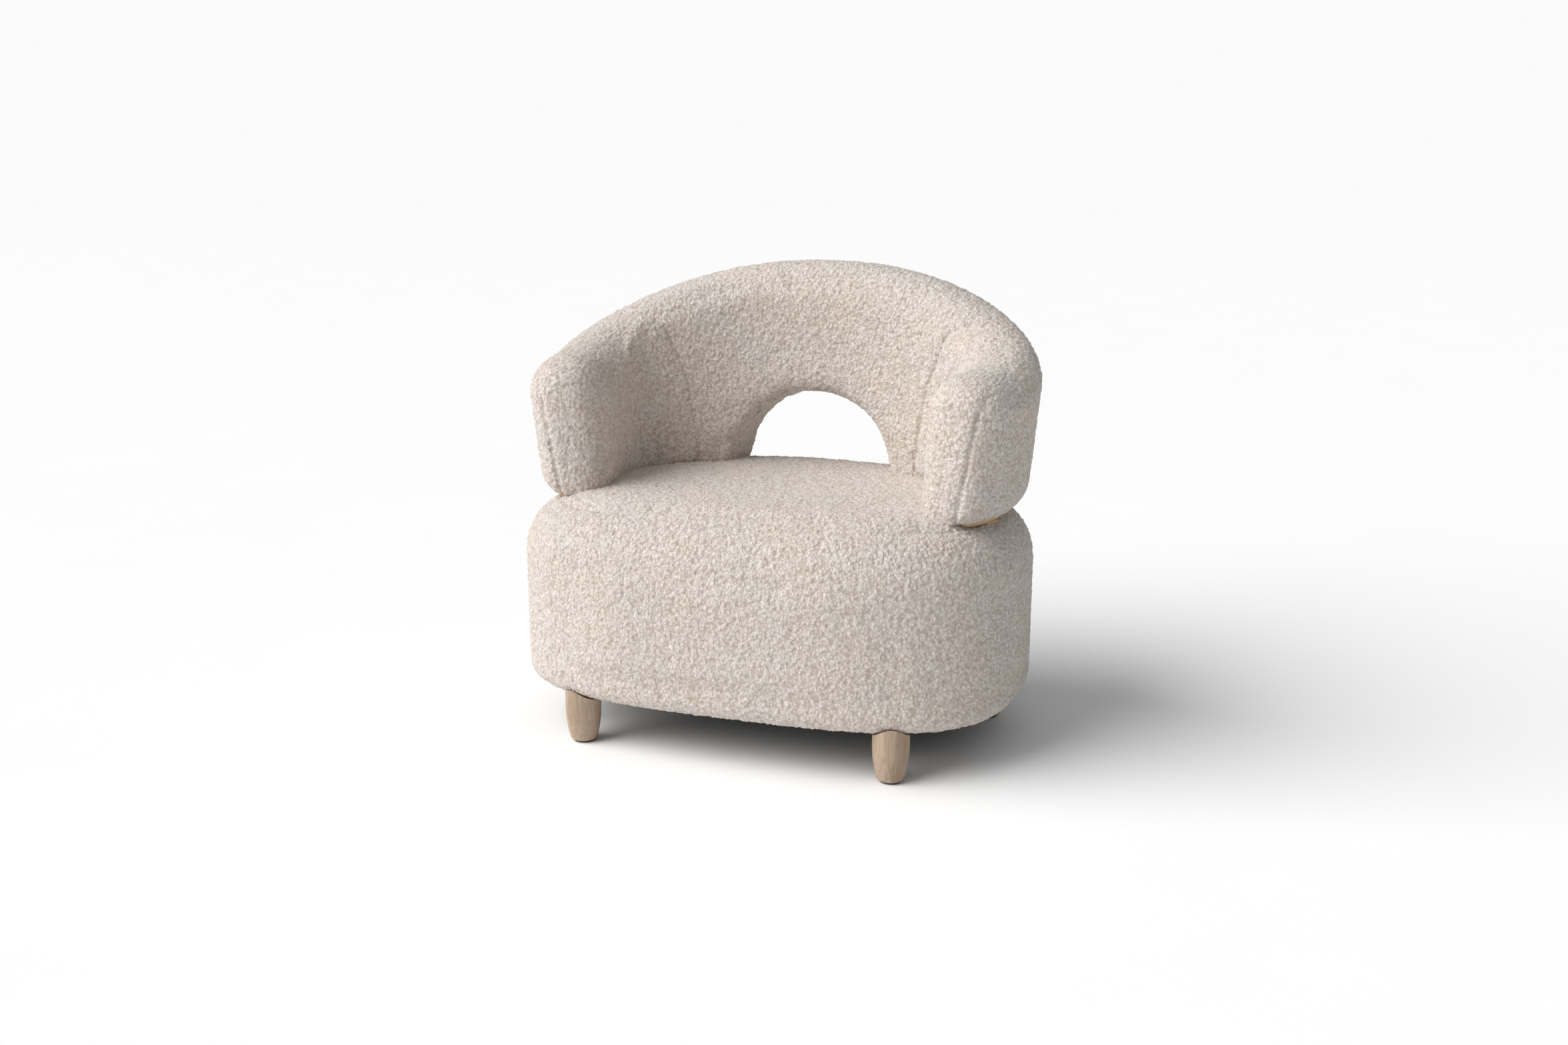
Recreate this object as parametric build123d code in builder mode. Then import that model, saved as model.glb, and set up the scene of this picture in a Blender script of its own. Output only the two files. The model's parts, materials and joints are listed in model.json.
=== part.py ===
from build123d import *
import math
import os

# Upholstered tub armchair on four turned legs. Millimetres, +Z up, front towards -Y.
# The origin is on the floor, under the middle of the seat pod.

# Seat pod: a D-shaped plan with squarer front corners and a rounder rear.
POD_HALF_WIDTH = 420
POD_FRONT = 300
POD_REAR = 300
FRONT_SQUARENESS = 3.25
REAR_SQUARENESS = 2.13
POD_BOTTOM = 74
POD_TOP = 395
POD_BOTTOM_ROUND = 38
POD_TOP_ROUND = 93
POD_SEAM = 378
HEM_INSET = 60

# Horseshoe back and arms, measured on their middle line.
BACK_THICKNESS = 137
BACK_OUTER_HALF_WIDTH = 410
BACK_OUTER_REAR = 272
BACK_BOTTOM = 374
ARM_TOP = 615
BACK_TOP = 756
RIM_SWEEP = 1.57
BACK_LEAN = 0.049
NOSE_Y = -69
NOSE_LENGTH = 102
NOSE_SQUARENESS = 3
ARM_TOE_LENGTH = 163
ARM_SQUARENESS = 3.4
NOSE_LIFT = 12
NOSE_DROP = 40
SEAM_Y = 82
# Corner radii of the cross-section as shares of its half thickness:
# inner bottom, outer bottom, outer rim, inner rim.
SECTION_ROUND = (0.4, 0.85, 0.92, 0.9)

# Archway through the back.
ARCH_WIDTH = 280
ARCH_SPRING = 385
ARCH_HEIGHT = 136

# Legs.
LEG_TOP_DIAMETER = 57
LEG_FOOT_DIAMETER = 41
FRONT_LEG = (258, -243)
REAR_LEG = (335, 90)

# Materials' thicknesses.
FABRIC = 3
WRAP = 12
BOARD = 3
PLY = 18
SIDE_FOAM = 15
OUTER_FOAM = 27
DUST_CLOTH = 1

# Base frame.
FRAME_INSET = SIDE_FOAM + FABRIC
FRAME_LOW = POD_BOTTOM + FABRIC + 1
FRAME_EDGE = 16
FOAM_EDGE_INSET = 42
RING_OPENING_INSET = 120
BASE_RING_TOP = 291
LEG_BLOCK = (80, 80, 30)
POST_WIDTH = 40
POST_ANGLES = (-103, -77, -20, 50, 90, 130, 200)
RISER = (62, 46)
RISER_ANGLES = (-15, 9, 40)

# Back frame.
RAIL_LOW = BACK_BOTTOM + FABRIC + 1
RIM_RAIL = 22
UPRIGHT = (34, 44)
HOOP_THICKNESS = 12
JAMB_FOAM = 5

# Fixings: M8 bolts and screws with tee nuts.
BOLT_RADIUS = 4
BOLT_HOLE = 4.5
TEE_RADIUS = 5.5
TEE_LENGTH = 12
FLANGE_RADIUS = 11
FLANGE = 1.5
HEAD_RADIUS = 6.5
HEAD_HEIGHT = 5
SCREW_LOW = 40
GLIDE_RADIUS = 16
GLIDE_HEIGHT = 3

# Zigzag springs.
SPRING_WIRE = 3.8
SPRING_PITCH = 22
SPRING_LOOP = 44
SPRING_COUNT = 5
SPRING_SPACING = 100
SPRING_LEVEL = BASE_RING_TOP + SPRING_WIRE / 2 + 1
PAD_LOW = SPRING_LEVEL + SPRING_WIRE / 2 + 1
FOAM_LOW = PAD_LOW + 3

os.makedirs("parts", exist_ok=True)

MID_HALF_WIDTH = BACK_OUTER_HALF_WIDTH - BACK_THICKNESS / 2
MID_REAR = BACK_OUTER_REAR - BACK_THICKNESS / 2
CORE = OUTER_FOAM + BOARD
WIDE = 1200
SIDES = (("left", -1), ("right", 1))


def save(piece, name):
    """Label one finished piece and write it to its own file."""
    piece.part.label = name
    export_step(piece.part, f"parts/{name}.step")


def signed_power(value, power):
    return math.copysign(abs(value) ** power, value)


def plan_place(inset, angle):
    """Place on the D-shaped plan, drawn in by an inset; 90 degrees is the rear."""
    turn = math.radians(angle)
    across, along = math.cos(turn), math.sin(turn)
    square = REAR_SQUARENESS if along > 0 else FRONT_SQUARENESS
    reach = POD_REAR if along > 0 else POD_FRONT
    x = (POD_HALF_WIDTH - inset) * signed_power(across, 2 / square)
    y = (reach - inset) * signed_power(along, 2 / square)
    return x, y


def d_plan_points(inset, count=48):
    """Points round the D-shaped plan, drawn in by an inset."""
    return [plan_place(inset, 360 * (step + 0.5) / count) for step in range(count)]


def d_prism(inset, low, high):
    """Straight-sided block of the D-shaped plan."""
    with BuildPart() as prism:
        with BuildSketch(Plane.XY.offset(low)):
            with BuildLine():
                Spline(*d_plan_points(inset), periodic=True)
            make_face()
        extrude(amount=high - low)
    return prism.part


def pod(inset):
    """The rounded seat pod, drawn in by an inset on every face."""
    with BuildPart() as form:
        add(d_prism(inset, POD_BOTTOM + inset, POD_TOP - inset))
        fillet(form.edges().group_by(Axis.Z)[-1], POD_TOP_ROUND - inset)
        fillet(form.edges().group_by(Axis.Z)[0], max(POD_BOTTOM_ROUND - inset, 4))
    return form.part


def base_frame_form(high):
    """Room taken by the base frame, with its routed lower edge."""
    with BuildPart() as form:
        add(d_prism(FRAME_INSET, FRAME_LOW, high))
        fillet(form.edges().group_by(Axis.Z)[0], FRAME_EDGE)
    return form.part


def path_point(angle):
    """Point and outward normal on the horseshoe's middle line; 90 degrees is the rear."""
    turn = math.radians(angle)
    across, along = math.cos(turn), math.sin(turn)
    square = REAR_SQUARENESS if along > 0 else ARM_SQUARENESS
    reach = MID_REAR if along > 0 else ARM_TOE_LENGTH
    x = MID_HALF_WIDTH * signed_power(across, 2 / square)
    y = reach * signed_power(along, 2 / square)
    slope_x = signed_power(x / MID_HALF_WIDTH, square - 1) / MID_HALF_WIDTH
    slope_y = signed_power(y / reach, square - 1) / reach
    return Vector(x, y, 0), Vector(slope_x, slope_y, 0).normalized()


NOSE_ANGLE = -math.degrees(math.asin((-NOSE_Y / ARM_TOE_LENGTH) ** (ARM_SQUARENESS / 2)))
MAIN_ANGLES = (NOSE_ANGLE, 0, 12, 30, 50, 70, 90)
NOSE_STEPS = (0.45, 0.7, 0.85, 0.94, 0.985)


def stations(side_inset):
    """Cross-section places from the left nose tip round to the right nose tip."""
    start, normal = path_point(NOSE_ANGLE)
    forward = Vector(normal.Y, -normal.X, 0)
    right = []
    for step in reversed(NOSE_STEPS):
        spot = start + forward * (NOSE_LENGTH - side_inset) * step
        right.append((spot, normal, (1 - step**NOSE_SQUARENESS) ** (1 / NOSE_SQUARENESS)))
    for angle in MAIN_ANGLES:
        spot, normal = path_point(angle)
        right.append((spot, normal, 1))
    left = [(Vector(-p.X, p.Y, 0), Vector(-n.X, n.Y, 0), f) for p, n, f in right[:-1]]
    return left + right[::-1]


def rim_height(y):
    """Height of the rim: lowest at the noses, then sweeping up to the back."""
    share = min(max((y - NOSE_Y) / (MID_REAR - NOSE_Y), 0), 1)
    return ARM_TOP + (BACK_TOP - ARM_TOP) * share**RIM_SWEEP


def horseshoe(side, top, bottom):
    """The back and arms as one form, drawn in on its sides, its rim and its underside."""
    half_full = BACK_THICKNESS / 2 - side
    with BuildPart() as form:
        for spot, normal, fullness in stations(side):
            half = half_full * fullness
            low = BACK_BOTTOM + bottom + NOSE_LIFT * (1 - fullness)
            high = rim_height(spot.Y) - top - NOSE_DROP * (1 - fullness**2)
            lean = BACK_LEAN * (high - low)
            place = Plane(
                origin=(spot.X, spot.Y, 0),
                x_dir=normal,
                z_dir=Vector(normal.Y, -normal.X, 0),
            )
            corners = ((-half, low), (half, low), (half + lean, high), (-half + lean, high))
            with BuildSketch(place):
                with BuildLine():
                    FilletPolyline(*corners, radius=[half * r for r in SECTION_ROUND], close=True)
                make_face()
        loft()
    return form.part


def slab(low, high):
    """Wide flat block between two heights."""
    with BuildPart() as block:
        with BuildSketch(Plane.XY.offset(low)):
            Rectangle(WIDE, WIDE)
        extrude(amount=high - low)
    return block.part


def archway(grow):
    """Block that fills the archway, grown outwards, running through the back."""
    half = ARCH_WIDTH / 2 + grow
    below = BACK_BOTTOM - 30
    with BuildPart() as block:
        with BuildSketch(Plane.XZ):
            with BuildLine():
                EllipticalCenterArc((0, ARCH_SPRING), half, ARCH_HEIGHT + grow, start_angle=0, arc_size=180)
                Polyline((-half, ARCH_SPRING), (-half, below), (half, below), (half, ARCH_SPRING))
            make_face()
        extrude(amount=-WIDE / 3)
    return block.part


def below_rim(depth):
    """Everything that lies deeper than a given depth under the rim."""
    reach = BACK_THICKNESS / 2 + 12
    with BuildPart() as block:
        for spot, normal, fullness in stations(0):
            high = rim_height(spot.Y) - depth - NOSE_DROP * (1 - fullness**2)
            place = Plane(
                origin=(spot.X, spot.Y, 0),
                x_dir=normal,
                z_dir=Vector(normal.Y, -normal.X, 0),
            )
            corners = ((-reach, RAIL_LOW), (reach, RAIL_LOW), (reach, high), (-reach, high))
            with BuildSketch(place):
                with BuildLine():
                    Polyline(*corners, close=True)
                make_face()
        loft()
    return block.part


def inside_middle():
    """Block inside the horseshoe's middle line, open towards the front."""
    points = [path_point(180 - angle)[0] for angle in MAIN_ANGLES[:-1]]
    points += [path_point(angle)[0] for angle in MAIN_ANGLES[::-1]]
    nose, normal = path_point(NOSE_ANGLE)
    ahead = nose + Vector(normal.Y, -normal.X, 0) * (NOSE_LENGTH + 60)
    with BuildPart() as block:
        with BuildSketch(Plane.XY.offset(BACK_BOTTOM - 50)):
            with BuildLine():
                Spline(*[(p.X, p.Y) for p in points])
                Polyline((nose.X, nose.Y), (ahead.X, ahead.Y), (-ahead.X, ahead.Y), (-nose.X, nose.Y))
            make_face()
        extrude(amount=WIDE / 2)
    return block.part


def arm_region(sign):
    """Block that holds one arm, cut off from the back at the inner seam."""
    with BuildPart() as block:
        with BuildSketch(Plane.XY.offset(BACK_BOTTOM - 50)):
            with Locations((sign * WIDE / 4, SEAM_Y - WIDE / 4)):
                Rectangle(WIDE / 2, WIDE / 2)
        extrude(amount=WIDE / 2)
    return block.part


def rods(places, radius, low, high):
    """Upright round rods at the given plan places."""
    with BuildPart() as group:
        with BuildSketch(Plane.XY.offset(low)):
            with Locations(*places):
                Circle(radius)
        extrude(amount=high - low)
    return group.part


def blocks(frames, low, high, size):
    """Upright blocks, each turned to the outward normal of its place."""
    with BuildPart() as group:
        for spot, normal in frames:
            place = Plane(origin=(spot.X, spot.Y, low), x_dir=normal, z_dir=(0, 0, 1))
            with BuildSketch(place):
                Rectangle(*size)
            extrude(amount=high - low)
    return group.part


def both_sides(angles):
    """Places on the middle line at the given angles, on the right and on the left."""
    right = [path_point(angle) for angle in angles]
    left = [(Vector(-p.X, p.Y, 0), Vector(-n.X, n.Y, 0)) for p, n in right]
    return right + left


# Shared forms and levels.
block_low = POD_BOTTOM + FABRIC + PLY
block_top = block_low + LEG_BLOCK[2]
back_form = horseshoe(0, 0, 0)
back_under_fabric = horseshoe(FABRIC, FABRIC, FABRIC)
back_frame_form = horseshoe(OUTER_FOAM, OUTER_FOAM, -10)
back_core = horseshoe(CORE, CORE, -10)
pod_form = pod(0)
pod_under_fabric = pod(FABRIC)
inside = inside_middle()
arms = {side: arm_region(sign) for side, sign in SIDES}
rim_room = below_rim(CORE + RIM_RAIL)
riser_frames = both_sides(RISER_ANGLES)
bolt_places = [(spot.X, spot.Y) for spot, normal in riser_frames]
leg_places = {
    "front_left": (-FRONT_LEG[0], FRONT_LEG[1]),
    "front_right": FRONT_LEG,
    "rear_left": (-REAR_LEG[0], REAR_LEG[1]),
    "rear_right": REAR_LEG,
}

with BuildPart() as seated_back:
    add(back_form)
    add(archway(0), mode=Mode.SUBTRACT)

# Legs, each with its glide.
for place, (x, y) in leg_places.items():
    with BuildPart() as leg:
        with BuildSketch(Plane.XZ):
            with BuildLine():
                top, foot = LEG_TOP_DIAMETER / 2, LEG_FOOT_DIAMETER / 2
                Line((0, POD_BOTTOM + 30), (top, POD_BOTTOM + 30))
                Line((top, POD_BOTTOM + 30), (top, POD_BOTTOM - 4))
                ThreePointArc((top, POD_BOTTOM - 4), (top - 1.9, 30), (foot + 1.7, 8))
                ThreePointArc((foot + 1.7, 8), (foot, 4.6), (foot - 3, GLIDE_HEIGHT))
                Line((foot - 3, GLIDE_HEIGHT), (0, GLIDE_HEIGHT))
                Line((0, GLIDE_HEIGHT), (0, POD_BOTTOM + 30))
            make_face()
        revolve(axis=Axis.Z)
        add(rods([(0, 0)], BOLT_RADIUS, SCREW_LOW, POD_BOTTOM + 40), mode=Mode.SUBTRACT)
        add(rods([(0, 0)], 1.5, 0, 16), mode=Mode.SUBTRACT)
        add(pod_form.moved(Location((-x, -y, 0))), mode=Mode.SUBTRACT)
    leg.part = leg.part.moved(Location((x, y, 0)))
    save(leg, f"leg_{place}")

    with BuildPart() as glide:
        add(rods([(x, y)], GLIDE_RADIUS, 0, GLIDE_HEIGHT))
        add(rods([(x, y)], 1.5, GLIDE_HEIGHT, 16))
    save(glide, f"glide_{place}")

    with BuildPart() as leg_block:
        with BuildSketch(Plane.XY.offset(block_low)):
            with Locations((x, y)):
                Rectangle(LEG_BLOCK[0], LEG_BLOCK[1])
        extrude(amount=LEG_BLOCK[2])
        add(d_prism(FRAME_INSET + BOARD, block_low, block_top), mode=Mode.INTERSECT)
        add(rods([(x, y)], BOLT_HOLE, block_low, block_top - TEE_LENGTH), mode=Mode.SUBTRACT)
        add(rods([(x, y)], TEE_RADIUS, block_top - TEE_LENGTH, block_top), mode=Mode.SUBTRACT)
    save(leg_block, f"leg_block_{place}")

leg_centres = list(leg_places.values())
with BuildPart() as leg_screws:
    add(rods(leg_centres, BOLT_RADIUS, SCREW_LOW, block_top))
save(leg_screws, "leg_screws")

with BuildPart() as leg_tee_nuts:
    add(rods(leg_centres, TEE_RADIUS, block_top - TEE_LENGTH, block_top))
    add(rods(leg_centres, FLANGE_RADIUS, block_top, block_top + FLANGE))
    add(rods(leg_centres, BOLT_RADIUS, block_top - TEE_LENGTH, block_top + FLANGE), mode=Mode.SUBTRACT)
save(leg_tee_nuts, "leg_tee_nuts")

# Base frame: two plywood rings, posts between them and a bent skin round the outside.
with BuildPart() as base_bottom_ring:
    add(base_frame_form(block_low))
    add(d_prism(RING_OPENING_INSET, POD_BOTTOM, block_low), mode=Mode.SUBTRACT)
    add(rods(leg_centres, BOLT_HOLE, POD_BOTTOM, block_low), mode=Mode.SUBTRACT)
save(base_bottom_ring, "base_bottom_ring")

with BuildPart() as base_top_ring:
    add(d_prism(FRAME_INSET + BOARD, BASE_RING_TOP - PLY, BASE_RING_TOP))
    add(d_prism(RING_OPENING_INSET, BASE_RING_TOP - PLY, BASE_RING_TOP), mode=Mode.SUBTRACT)
    add(rods(bolt_places, BOLT_HOLE, BASE_RING_TOP - PLY, BASE_RING_TOP), mode=Mode.SUBTRACT)
save(base_top_ring, "base_top_ring")

with BuildPart() as base_posts:
    post_inset = FRAME_INSET + BOARD + POST_WIDTH / 2 + 4
    for angle in POST_ANGLES:
        with BuildSketch(Plane.XY.offset(block_low)):
            with Locations(plan_place(post_inset, angle)):
                Rectangle(POST_WIDTH, POST_WIDTH)
        extrude(amount=BASE_RING_TOP - PLY - block_low)
save(base_posts, "base_posts")

with BuildPart() as base_skin:
    add(d_prism(FRAME_INSET, block_low, BASE_RING_TOP))
    add(d_prism(FRAME_INSET + BOARD, block_low, BASE_RING_TOP), mode=Mode.SUBTRACT)
save(base_skin, "base_skin")

riser_room = blocks(riser_frames, BASE_RING_TOP, BACK_BOTTOM + 2, RISER)
with BuildPart() as back_risers:
    add(riser_room)
    add(back_form, mode=Mode.SUBTRACT)
    add(rods(bolt_places, BOLT_HOLE, BASE_RING_TOP, BACK_BOTTOM + 2), mode=Mode.SUBTRACT)
save(back_risers, "back_risers")

# Zigzag springs across the opening, their clips, and the felt pad over them.
opening_front = POD_FRONT - RING_OPENING_INSET
opening_rear = POD_REAR - RING_OPENING_INSET
opening_half = POD_HALF_WIDTH - RING_OPENING_INSET
clip_places = []
for number in range(SPRING_COUNT):
    x = (number - (SPRING_COUNT - 1) / 2) * SPRING_SPACING
    front = -opening_front * (1 - abs(x / opening_half) ** FRONT_SQUARENESS) ** (1 / FRONT_SQUARENESS)
    rear = opening_rear * (1 - abs(x / opening_half) ** REAR_SQUARENESS) ** (1 / REAR_SQUARENESS)
    bends = 2 * round((rear - front + 24) / SPRING_PITCH / 2)
    start = (front + rear - bends * SPRING_PITCH) / 2
    points = []
    for bend in range(bends + 1):
        swing = SPRING_LOOP / 2 if bend % 2 else -SPRING_LOOP / 2
        y = start + bend * SPRING_PITCH
        points.append((x + swing, y))
        points.append((x - swing, y))
    with BuildPart() as seat_spring:
        with BuildLine(Plane.XY.offset(SPRING_LEVEL)) as wire:
            FilletPolyline(*points, radius=SPRING_PITCH / 2 - 1.5)
        with BuildSketch(Plane(origin=wire.line @ 0, z_dir=wire.line % 0)):
            Circle(SPRING_WIRE / 2)
        sweep()
    save(seat_spring, f"seat_spring_{number + 1}")
    clip_places += [(x, start), (x, start + bends * SPRING_PITCH)]

with BuildPart() as spring_clips:
    for x, y in clip_places:
        with BuildSketch(Plane.XY.offset(BASE_RING_TOP)):
            with Locations((x, y)):
                Rectangle(22, 9)
        extrude(amount=SPRING_WIRE + 1.8)
        with BuildSketch(Plane.YZ.offset(x - 30)):
            with Locations((y, SPRING_LEVEL)):
                Circle(SPRING_WIRE / 2)
        extrude(amount=60, mode=Mode.SUBTRACT)
save(spring_clips, "spring_clips")

with BuildPart() as spring_pad:
    add(d_prism(FRAME_INSET + BOARD, PAD_LOW, FOAM_LOW))
    add(riser_room, mode=Mode.SUBTRACT)
save(spring_pad, "spring_pad")

# Seat and side padding.
with BuildPart() as seat_foam:
    add(pod(FABRIC + WRAP))
    add(slab(FOAM_LOW, POD_TOP), mode=Mode.INTERSECT)
    add(riser_room, mode=Mode.SUBTRACT)
    add(seated_back.part, mode=Mode.SUBTRACT)
save(seat_foam, "seat_foam")

with BuildPart() as seat_topper:
    add(pod_under_fabric)
    add(slab(FOAM_LOW, POD_TOP), mode=Mode.INTERSECT)
    add(pod(FABRIC + WRAP), mode=Mode.SUBTRACT)
    add(riser_room, mode=Mode.SUBTRACT)
    add(seated_back.part, mode=Mode.SUBTRACT)
save(seat_topper, "seat_topper")

with BuildPart() as base_side_foam:
    add(pod_under_fabric)
    add(base_frame_form(FOAM_LOW), mode=Mode.SUBTRACT)
    add(slab(FOAM_LOW, POD_TOP + 10), mode=Mode.SUBTRACT)
    add(d_prism(FOAM_EDGE_INSET, POD_BOTTOM, FRAME_LOW + 2), mode=Mode.SUBTRACT)
save(base_side_foam, "base_side_foam")

# Seat pod fabric: a top panel, a band with its turned-under edge, and the dust cloth.
with BuildPart() as pod_fabric:
    add(pod_form)
    add(pod_under_fabric, mode=Mode.SUBTRACT)
    add(seated_back.part, mode=Mode.SUBTRACT)

with BuildPart() as seat_top_cover:
    add(pod_fabric.part)
    add(slab(POD_SEAM, POD_TOP + 10), mode=Mode.INTERSECT)
save(seat_top_cover, "seat_top_cover")

with BuildPart() as seat_band_cover:
    add(pod_fabric.part)
    add(slab(POD_BOTTOM - 10, POD_SEAM), mode=Mode.INTERSECT)
    add(d_prism(HEM_INSET, POD_BOTTOM, POD_BOTTOM + FABRIC), mode=Mode.SUBTRACT)
    add(rods(leg_centres, BOLT_HOLE, POD_BOTTOM, POD_BOTTOM + FABRIC), mode=Mode.SUBTRACT)
save(seat_band_cover, "seat_band_cover")

with BuildPart() as dust_cover:
    add(d_prism(HEM_INSET, POD_BOTTOM + DUST_CLOTH, POD_BOTTOM + 2 * DUST_CLOTH))
save(dust_cover, "dust_cover")

# Back frame, built up inside the padding.
hoop_outside = archway(FABRIC + JAMB_FOAM + HOOP_THICKNESS)
rail_top = RAIL_LOW + PLY
for side, sign in SIDES:
    with BuildPart() as bottom_rail:
        add(back_core)
        add(slab(RAIL_LOW, rail_top), mode=Mode.INTERSECT)
        add(hoop_outside, mode=Mode.SUBTRACT)
        with BuildSketch(Plane.XY.offset(RAIL_LOW)):
            with Locations((-sign * WIDE / 2, 0)):
                Rectangle(WIDE, WIDE)
        extrude(amount=PLY, mode=Mode.SUBTRACT)
        add(rods(bolt_places, BOLT_HOLE, RAIL_LOW, rail_top - TEE_LENGTH), mode=Mode.SUBTRACT)
        add(rods(bolt_places, TEE_RADIUS, rail_top - TEE_LENGTH, rail_top), mode=Mode.SUBTRACT)
    save(bottom_rail, f"back_bottom_rail_{side}")

with BuildPart() as back_top_rail:
    add(back_core)
    add(rim_room, mode=Mode.SUBTRACT)
    add(slab(BACK_BOTTOM - 60, rail_top + 120), mode=Mode.SUBTRACT)
save(back_top_rail, "back_top_rail")

for name, angle in (("arm_post", -3), ("side_post", 25), ("back_post", 55)):
    for side, sign in SIDES:
        spot, normal = path_point(angle)
        frame = (Vector(sign * spot.X, spot.Y, 0), Vector(sign * normal.X, normal.Y, 0))
        with BuildPart() as post:
            add(blocks([frame], rail_top, BACK_TOP, UPRIGHT))
            add(rim_room, mode=Mode.INTERSECT)
        save(post, f"{name}_{side}")

with BuildPart() as centre_strut:
    add(blocks([path_point(90)], ARCH_SPRING + ARCH_HEIGHT, BACK_TOP, UPRIGHT))
    add(rim_room, mode=Mode.INTERSECT)
    add(hoop_outside, mode=Mode.SUBTRACT)
save(centre_strut, "centre_strut")

with BuildPart() as arch_hoop:
    add(hoop_outside)
    add(archway(FABRIC + JAMB_FOAM), mode=Mode.SUBTRACT)
    add(back_core, mode=Mode.INTERSECT)
    add(slab(RAIL_LOW, BACK_TOP), mode=Mode.INTERSECT)
save(arch_hoop, "arch_hoop")

with BuildPart() as board_room:
    add(back_frame_form)
    add(back_core, mode=Mode.SUBTRACT)
    add(rim_room, mode=Mode.INTERSECT)
    add(slab(rail_top, BACK_TOP), mode=Mode.INTERSECT)
    add(archway(FABRIC + JAMB_FOAM), mode=Mode.SUBTRACT)

with BuildPart() as inner_board:
    add(board_room.part)
    add(inside, mode=Mode.INTERSECT)
save(inner_board, "inner_board")

with BuildPart() as outer_board:
    add(board_room.part)
    add(inside, mode=Mode.SUBTRACT)
save(outer_board, "outer_board")

# Bolts that hold the back down on the seat pod's frame.
bolt_head = BASE_RING_TOP - PLY - FLANGE
with BuildPart() as back_bolts:
    add(rods(bolt_places, HEAD_RADIUS, bolt_head - HEAD_HEIGHT, bolt_head))
    add(rods(bolt_places, BOLT_RADIUS, bolt_head, rail_top + 4))
save(back_bolts, "back_bolts")

with BuildPart() as back_washers:
    add(rods(bolt_places, FLANGE_RADIUS, bolt_head, BASE_RING_TOP - PLY))
    add(rods(bolt_places, BOLT_RADIUS, bolt_head, BASE_RING_TOP - PLY), mode=Mode.SUBTRACT)
save(back_washers, "back_washers")

with BuildPart() as back_tee_nuts:
    add(rods(bolt_places, TEE_RADIUS, rail_top - TEE_LENGTH, rail_top))
    add(rods(bolt_places, FLANGE_RADIUS, rail_top, rail_top + FLANGE))
    add(rods(bolt_places, BOLT_RADIUS, rail_top - TEE_LENGTH, rail_top + FLANGE), mode=Mode.SUBTRACT)
save(back_tee_nuts, "back_tee_nuts")

# Back padding, open underneath over the rails.
with BuildPart() as frame_room:
    add(back_frame_form)
    add(archway(FABRIC + JAMB_FOAM), mode=Mode.SUBTRACT)

with BuildPart() as back_padding:
    add(back_under_fabric)
    add(frame_room.part, mode=Mode.SUBTRACT)
    add(archway(FABRIC), mode=Mode.SUBTRACT)

with BuildPart() as back_outer_foam:
    add(back_padding.part)
    add(inside, mode=Mode.SUBTRACT)
save(back_outer_foam, "back_outer_foam")

with BuildPart() as inner_padding:
    add(back_padding.part)
    add(inside, mode=Mode.INTERSECT)

with BuildPart() as back_inner_foam:
    add(inner_padding.part)
    for region in arms.values():
        add(region, mode=Mode.SUBTRACT)
save(back_inner_foam, "back_inner_foam")

for side, region in arms.items():
    with BuildPart() as arm_foam:
        add(inner_padding.part)
        add(region, mode=Mode.INTERSECT)
    save(arm_foam, f"arm_foam_{side}")

# Back fabric: inner panel, two arm panels, one outer panel and the lining of the archway.
with BuildPart() as back_fabric:
    add(back_form)
    add(back_under_fabric, mode=Mode.SUBTRACT)
    add(archway(FABRIC), mode=Mode.SUBTRACT)
    add(rods(bolt_places, BOLT_HOLE, BACK_BOTTOM - 2, RAIL_LOW), mode=Mode.SUBTRACT)

with BuildPart() as back_outer_cover:
    add(back_fabric.part)
    add(inside, mode=Mode.SUBTRACT)
save(back_outer_cover, "back_outer_cover")

with BuildPart() as back_inner_cover:
    add(back_fabric.part)
    add(inside, mode=Mode.INTERSECT)
    for region in arms.values():
        add(region, mode=Mode.SUBTRACT)
save(back_inner_cover, "back_inner_cover")

for side, region in arms.items():
    with BuildPart() as arm_cover:
        add(back_fabric.part)
        add(inside, mode=Mode.INTERSECT)
        add(region, mode=Mode.INTERSECT)
    save(arm_cover, f"arm_cover_{side}")

with BuildPart() as arch_lining:
    add(archway(FABRIC))
    add(archway(0), mode=Mode.SUBTRACT)
    add(back_form, mode=Mode.INTERSECT)
save(arch_lining, "arch_lining")
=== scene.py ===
import json
import math

import bmesh
import bpy
import numpy as np
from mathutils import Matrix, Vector


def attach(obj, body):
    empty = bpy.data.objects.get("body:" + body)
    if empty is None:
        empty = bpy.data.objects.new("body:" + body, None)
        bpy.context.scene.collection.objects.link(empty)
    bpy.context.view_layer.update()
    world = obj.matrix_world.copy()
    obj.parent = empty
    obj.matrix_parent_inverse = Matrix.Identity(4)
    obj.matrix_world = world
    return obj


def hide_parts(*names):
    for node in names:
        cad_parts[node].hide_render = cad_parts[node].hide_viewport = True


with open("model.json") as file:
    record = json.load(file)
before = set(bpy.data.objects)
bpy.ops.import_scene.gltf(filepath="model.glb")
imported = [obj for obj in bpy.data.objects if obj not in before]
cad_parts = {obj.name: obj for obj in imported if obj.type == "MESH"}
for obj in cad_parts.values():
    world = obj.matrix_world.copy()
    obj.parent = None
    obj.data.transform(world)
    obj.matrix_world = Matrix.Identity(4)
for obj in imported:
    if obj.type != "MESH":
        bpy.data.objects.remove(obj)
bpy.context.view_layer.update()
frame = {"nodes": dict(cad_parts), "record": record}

# Seat pod, in metres, as the part has it.
POD_HALF_WIDTH = 0.420
POD_REACH = 0.300
FRONT_SQUARENESS = 3.25
REAR_SQUARENESS = 2.13
POD_BOTTOM = 0.074
POD_TOP = 0.395
HEM_ROUND = 0.030
HEM_SLACK = 0.002
HEM_WIDTH = 0.060
HEM_DEPTH = 0.009
POD_TOP_ROUND = 0.093
POD_SEAM = 0.378
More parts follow.
